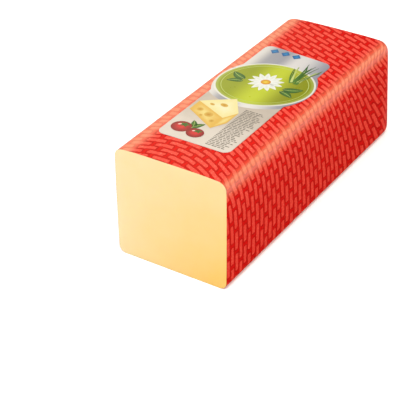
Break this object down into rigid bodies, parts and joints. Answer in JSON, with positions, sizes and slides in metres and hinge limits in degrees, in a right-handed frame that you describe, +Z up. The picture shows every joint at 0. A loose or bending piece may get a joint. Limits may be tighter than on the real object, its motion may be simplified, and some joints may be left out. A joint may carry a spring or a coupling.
{
  "type": "cheese block",
  "caption": "Long loaf-shaped block of pale yellow cheese in a printed red shrink bag with a top label, one end sliced off square to show the bare cheese.",
  "frame": {"origin": "under the middle of the whole pack, on the plane that the block rests on", "axes": "+Z up; the block's length runs along Y, with the cut face looking along -Y and the sealed end along +Y; the label is on the top"},
  "size_m": [0.1004, 0.2894, 0.0979],
  "materials": {
    "cheese": "bare cut cheese: pale yellow, smooth and slightly moist, with light passing a little way in",
    "film": "glossy red shrink film printed with staggered short dashes in a lighter red",
    "label": "glossy printed film label: silver, green and cream fields with simple food shapes and no text"
  },
  "bodies": {
    "root": {"cheese": "cheese", "bag": "film", "label": "label"}
  },
  "joints": []
}
